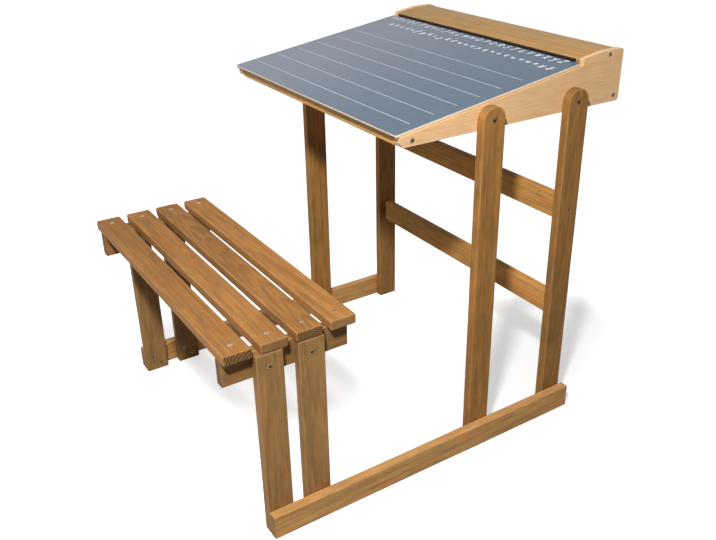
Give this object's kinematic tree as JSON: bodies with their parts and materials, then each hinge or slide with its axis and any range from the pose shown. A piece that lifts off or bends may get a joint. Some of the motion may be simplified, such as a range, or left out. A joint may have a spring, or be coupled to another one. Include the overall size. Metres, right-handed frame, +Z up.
{
  "type": "school desk with lift lid",
  "caption": "Child's timber school desk joined to a slatted bench by floor runners; a shallow sloping box desk has a hinged slate-surfaced lift lid and a fixed ledge behind it.",
  "frame": {"origin": "on the floor, midway between the sides and between the front of the seat and the back of the desk", "axes": "+X to the right of the sitter, +Y from the bench towards the back of the desk, +Z up"},
  "size_m": [0.6, 0.758, 0.668],
  "materials": {
    "frame_wood": "oiled softwood, brown",
    "seat_wood": "oiled softwood, brown",
    "panel_wood": "clear-lacquered pale wood",
    "top_wood": "clear-lacquered tan wood",
    "bottom_board": "plain thin board",
    "ply": "pale plywood, sanded edge",
    "slate": "matte slate writing surface",
    "zinc": "zinc plated",
    "dark_metal": "dark bronze"
  },
  "bodies": {
    "frame": {"cross_rail_upper": "frame_wood", "cross_rail_lower": "frame_wood", "runner_right": "frame_wood", "runner_left": "frame_wood", "seat_leg_front_right": "frame_wood", "seat_leg_front_left": "frame_wood", "seat_leg_rear_right": "frame_wood", "seat_leg_rear_left": "frame_wood", "desk_leg_front_right": "frame_wood", "desk_leg_front_left": "frame_wood", "desk_leg_rear_right": "frame_wood", "desk_leg_rear_left": "frame_wood", "seat_bearer_right": "frame_wood", "seat_bearer_left": "frame_wood", "seat_slat_1": "seat_wood", "seat_slat_2": "seat_wood", "seat_slat_3": "seat_wood", "seat_slat_4": "seat_wood", "side_panel_right": "panel_wood", "side_panel_left": "panel_wood", "front_rail": "panel_wood", "back_panel": "panel_wood", "top_board": "top_wood", "bottom_panel": "bottom_board", "slat_screws": "zinc", "foot_screws": "zinc", "rail_screws": "zinc", "panel_screws": "zinc", "seat_bolts": "zinc", "desk_bolts": "zinc", "seat_bolt_nuts": "zinc", "desk_bolt_nuts": "zinc", "hinge_frame_leaf_right": "dark_metal", "hinge_frame_leaf_left": "dark_metal", "hinge_pin_right": "dark_metal", "hinge_pin_left": "dark_metal", "hinge_frame_screws": "dark_metal"},
    "lid": {"lid_board": "ply", "slate_face": "slate", "lid_batten": "panel_wood", "hinge_lid_leaf_right": "dark_metal", "hinge_lid_leaf_left": "dark_metal", "hinge_lid_screws": "dark_metal"}
  },
  "joints": [
    {"name": "lid_hinge", "type": "hinge", "parent": "frame", "child": "lid", "pos_m": [0, 0.28505, 0.65695], "axis": [-1, 0, 0], "range_deg": [0, 110]}
  ]
}
